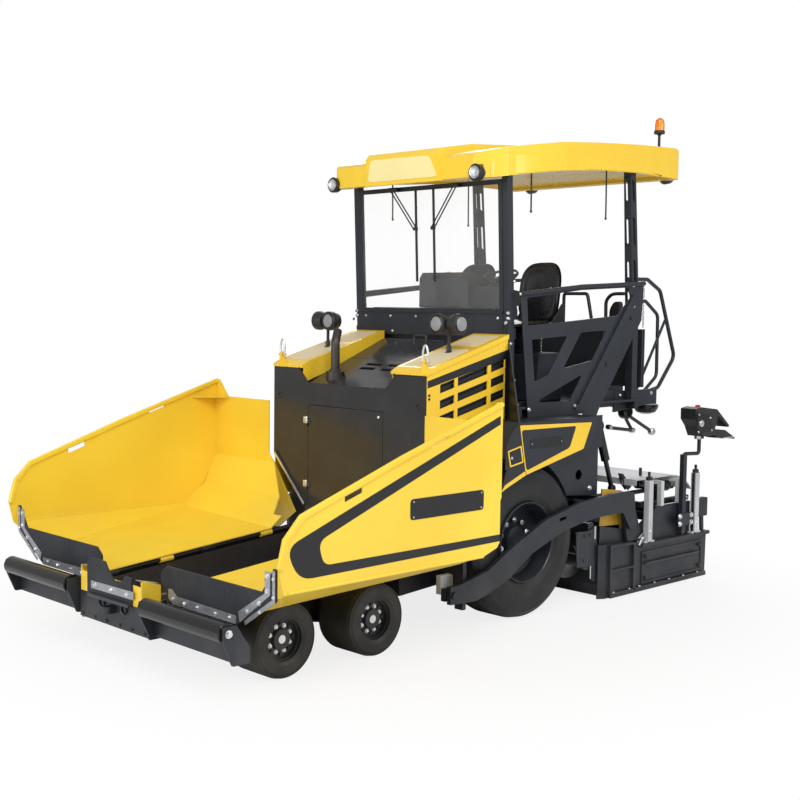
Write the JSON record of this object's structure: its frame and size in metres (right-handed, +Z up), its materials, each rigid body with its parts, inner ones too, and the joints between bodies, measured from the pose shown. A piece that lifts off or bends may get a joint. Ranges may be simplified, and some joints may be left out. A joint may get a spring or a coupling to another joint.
{
  "type": "asphalt paver",
  "caption": "Wheeled asphalt paver with folding hopper wings, roofed operator's platform, augers and an extending floating screed on long tow arms.",
  "frame": {"origin": "on the ground under the middle of the machine's length and width", "axes": "+X the way it drives, +Y its left side, +Z up"},
  "size_m": [6.314, 3.604, 4.439],
  "materials": {
    "yellow_paint": "gloss yellow paint",
    "dark_steel": "satin anthracite powder coat",
    "black_paint": "gloss black paint",
    "engine_grey": "grey paint",
    "worn_steel": "bare worn steel",
    "chain_steel": "oiled steel",
    "rail_steel": "satin black tube",
    "exhaust_steel": "heat-stained steel",
    "tread_grey": "grey tread plate",
    "clear_glass": "clear glass",
    "black_plastic": "black plastic",
    "amber_plastic": "amber lens",
    "seat_vinyl": "black vinyl",
    "apron_rubber": "black rubber sheet",
    "solid_rubber": "solid rubber",
    "tyre_rubber": "black rubber"
  },
  "bodies": {
    "chassis": {"access_rails": "rail_steel", "apron_middle": "apron_rubber", "auger_frame": "dark_steel", "beacon": "amber_plastic", "bogies": "dark_steel", "bulkhead": "dark_steel", "console": "black_plastic", "conveyors": "chain_steel", "engine": "engine_grey", "exhaust_pipe": "exhaust_steel", "fenders": "dark_steel", "hood_deck": "dark_steel", "hood_panels": "yellow_paint", "hopper_nose": "yellow_paint", "hopper_trough": "worn_steel", "lift_cylinders": "black_paint", "main_frame": "dark_steel", "platform_deck": "dark_steel", "platform_sides": "dark_steel", "push_brackets": "dark_steel", "rear_drives": "dark_steel", "roof": "yellow_paint", "roof_posts": "dark_steel", "seats": "seat_vinyl", "windscreen_frame": "dark_steel", "windscreen_glass": "clear_glass", "work_lamps": "black_plastic"},
    "bulkhead_door": {"bulkhead_door": "dark_steel"},
    "hood_lid": {"hood_lid": "dark_steel"},
    "screed": {"tow_arms": "dark_steel", "screed_body": "dark_steel", "walkway": "tread_grey"},
    "wing_left": {"wing_left": "yellow_paint", "apron_left": "apron_rubber"},
    "push_roller_left": {"push_roller_left": "black_paint"},
    "rear_wheel_left": {"rear_tyre_left": "tyre_rubber", "rear_rim_left": "dark_steel"},
    "auger_left": {"auger_left": "worn_steel"},
    "extension_left": {"extension_left": "dark_steel", "side_controls_left": "black_plastic"},
    "knuckle_front_left": {"knuckle_front_left": "dark_steel"},
    "wheel_front_left": {"tyre_front_left": "solid_rubber", "hub_front_left": "dark_steel"},
    "knuckle_middle_left": {"knuckle_middle_left": "dark_steel"},
    "wheel_middle_left": {"tyre_middle_left": "solid_rubber", "hub_middle_left": "dark_steel"},
    "wing_right": {"wing_right": "yellow_paint", "apron_right": "apron_rubber"},
    "push_roller_right": {"push_roller_right": "black_paint"},
    "rear_wheel_right": {"rear_tyre_right": "tyre_rubber", "rear_rim_right": "dark_steel"},
    "auger_right": {"auger_right": "worn_steel"},
    "extension_right": {"extension_right": "dark_steel", "side_controls_right": "black_plastic"},
    "knuckle_front_right": {"knuckle_front_right": "dark_steel"},
    "wheel_front_right": {"tyre_front_right": "solid_rubber", "hub_front_right": "dark_steel"},
    "knuckle_middle_right": {"knuckle_middle_right": "dark_steel"},
    "wheel_middle_right": {"tyre_middle_right": "solid_rubber", "hub_middle_right": "dark_steel"}
  },
  "joints": [
    {"name": "wing_left_fold", "type": "hinge", "parent": "chassis", "child": "wing_left", "pos_m": [1.823, 0.446, 0.6201], "axis": [0.9959, 0, -0.0906], "range_deg": [0, 45]},
    {"name": "wing_right_fold", "type": "hinge", "parent": "chassis", "child": "wing_right", "pos_m": [1.823, -0.446, 0.6201], "axis": [-0.9959, 0, 0.0906], "range_deg": [0, 45]},
    {"name": "steer_front_left", "type": "hinge", "parent": "chassis", "child": "knuckle_front_left", "pos_m": [2.415, 0.745, 0.274], "axis": [0, 0, 1], "range_deg": [-18, 18]},
    {"name": "roll_front_left", "type": "hinge", "parent": "knuckle_front_left", "child": "wheel_front_left", "pos_m": [2.415, 1.045, 0.274], "axis": [0, 1, 0], "continuous": true},
    {"name": "steer_middle_left", "type": "hinge", "parent": "chassis", "child": "knuckle_middle_left", "pos_m": [1.549, 0.745, 0.274], "axis": [0, 0, 1], "range_deg": [-12, 12]},
    {"name": "roll_middle_left", "type": "hinge", "parent": "knuckle_middle_left", "child": "wheel_middle_left", "pos_m": [1.549, 1.045, 0.274], "axis": [0, 1, 0], "continuous": true},
    {"name": "roll_rear_left", "type": "hinge", "parent": "chassis", "child": "rear_wheel_left", "pos_m": [-0.177, 1.0075, 0.648], "axis": [0, 1, 0], "continuous": true},
    {"name": "roller_left_spin", "type": "hinge", "parent": "chassis", "child": "push_roller_left", "pos_m": [3.087, 0.976, 0.482], "axis": [0, 1, 0], "continuous": true},
    {"name": "auger_left_spin", "type": "hinge", "parent": "chassis", "child": "auger_left", "pos_m": [-1.057, 0.61, 0.36], "axis": [0, 1, 0], "continuous": true},
    {"name": "steer_front_right", "type": "hinge", "parent": "chassis", "child": "knuckle_front_right", "pos_m": [2.415, -0.745, 0.274], "axis": [0, 0, 1], "range_deg": [-18, 18]},
    {"name": "roll_front_right", "type": "hinge", "parent": "knuckle_front_right", "child": "wheel_front_right", "pos_m": [2.415, -1.045, 0.274], "axis": [0, 1, 0], "continuous": true},
    {"name": "steer_middle_right", "type": "hinge", "parent": "chassis", "child": "knuckle_middle_right", "pos_m": [1.549, -0.745, 0.274], "axis": [0, 0, 1], "range_deg": [-12, 12]},
    {"name": "roll_middle_right", "type": "hinge", "parent": "knuckle_middle_right", "child": "wheel_middle_right", "pos_m": [1.549, -1.045, 0.274], "axis": [0, 1, 0], "continuous": true},
    {"name": "roll_rear_right", "type": "hinge", "parent": "chassis", "child": "rear_wheel_right", "pos_m": [-0.177, -1.0075, 0.648], "axis": [0, 1, 0], "continuous": true},
    {"name": "roller_right_spin", "type": "hinge", "parent": "chassis", "child": "push_roller_right", "pos_m": [3.087, -0.976, 0.482], "axis": [0, 1, 0], "continuous": true},
    {"name": "auger_right_spin", "type": "hinge", "parent": "chassis", "child": "auger_right", "pos_m": [-1.057, -0.61, 0.36], "axis": [0, 1, 0], "continuous": true},
    {"name": "door_swing", "type": "hinge", "parent": "chassis", "child": "bulkhead_door", "pos_m": [0.798, -0.487, 1.3], "axis": [0, 0, 1], "range_deg": [-100, 0]},
    {"name": "lid_lift", "type": "hinge", "parent": "chassis", "child": "hood_lid", "pos_m": [0.223, 0, 2.13726], "axis": [0, -1, 0], "range_deg": [-70, 0]},
    {"name": "screed_lift", "type": "hinge", "parent": "chassis", "child": "screed", "pos_m": [0.773, 0, 0.35], "axis": [0, 1, 0], "range_deg": [0, 6]},
    {"name": "extension_left_slide", "type": "slide", "parent": "screed", "child": "extension_left", "axis": [0, 1, 0], "range_m": [0, 0.95]},
    {"name": "extension_right_slide", "type": "slide", "parent": "screed", "child": "extension_right", "axis": [0, -1, 0], "range_m": [0, 0.95]}
  ],
  "couplings": [
    {"joint": "steer_front_right", "follows": "steer_front_left", "ratio": 1},
    {"joint": "steer_middle_left", "follows": "steer_front_left", "ratio": 0.666},
    {"joint": "steer_middle_right", "follows": "steer_front_left", "ratio": 0.666}
  ]
}
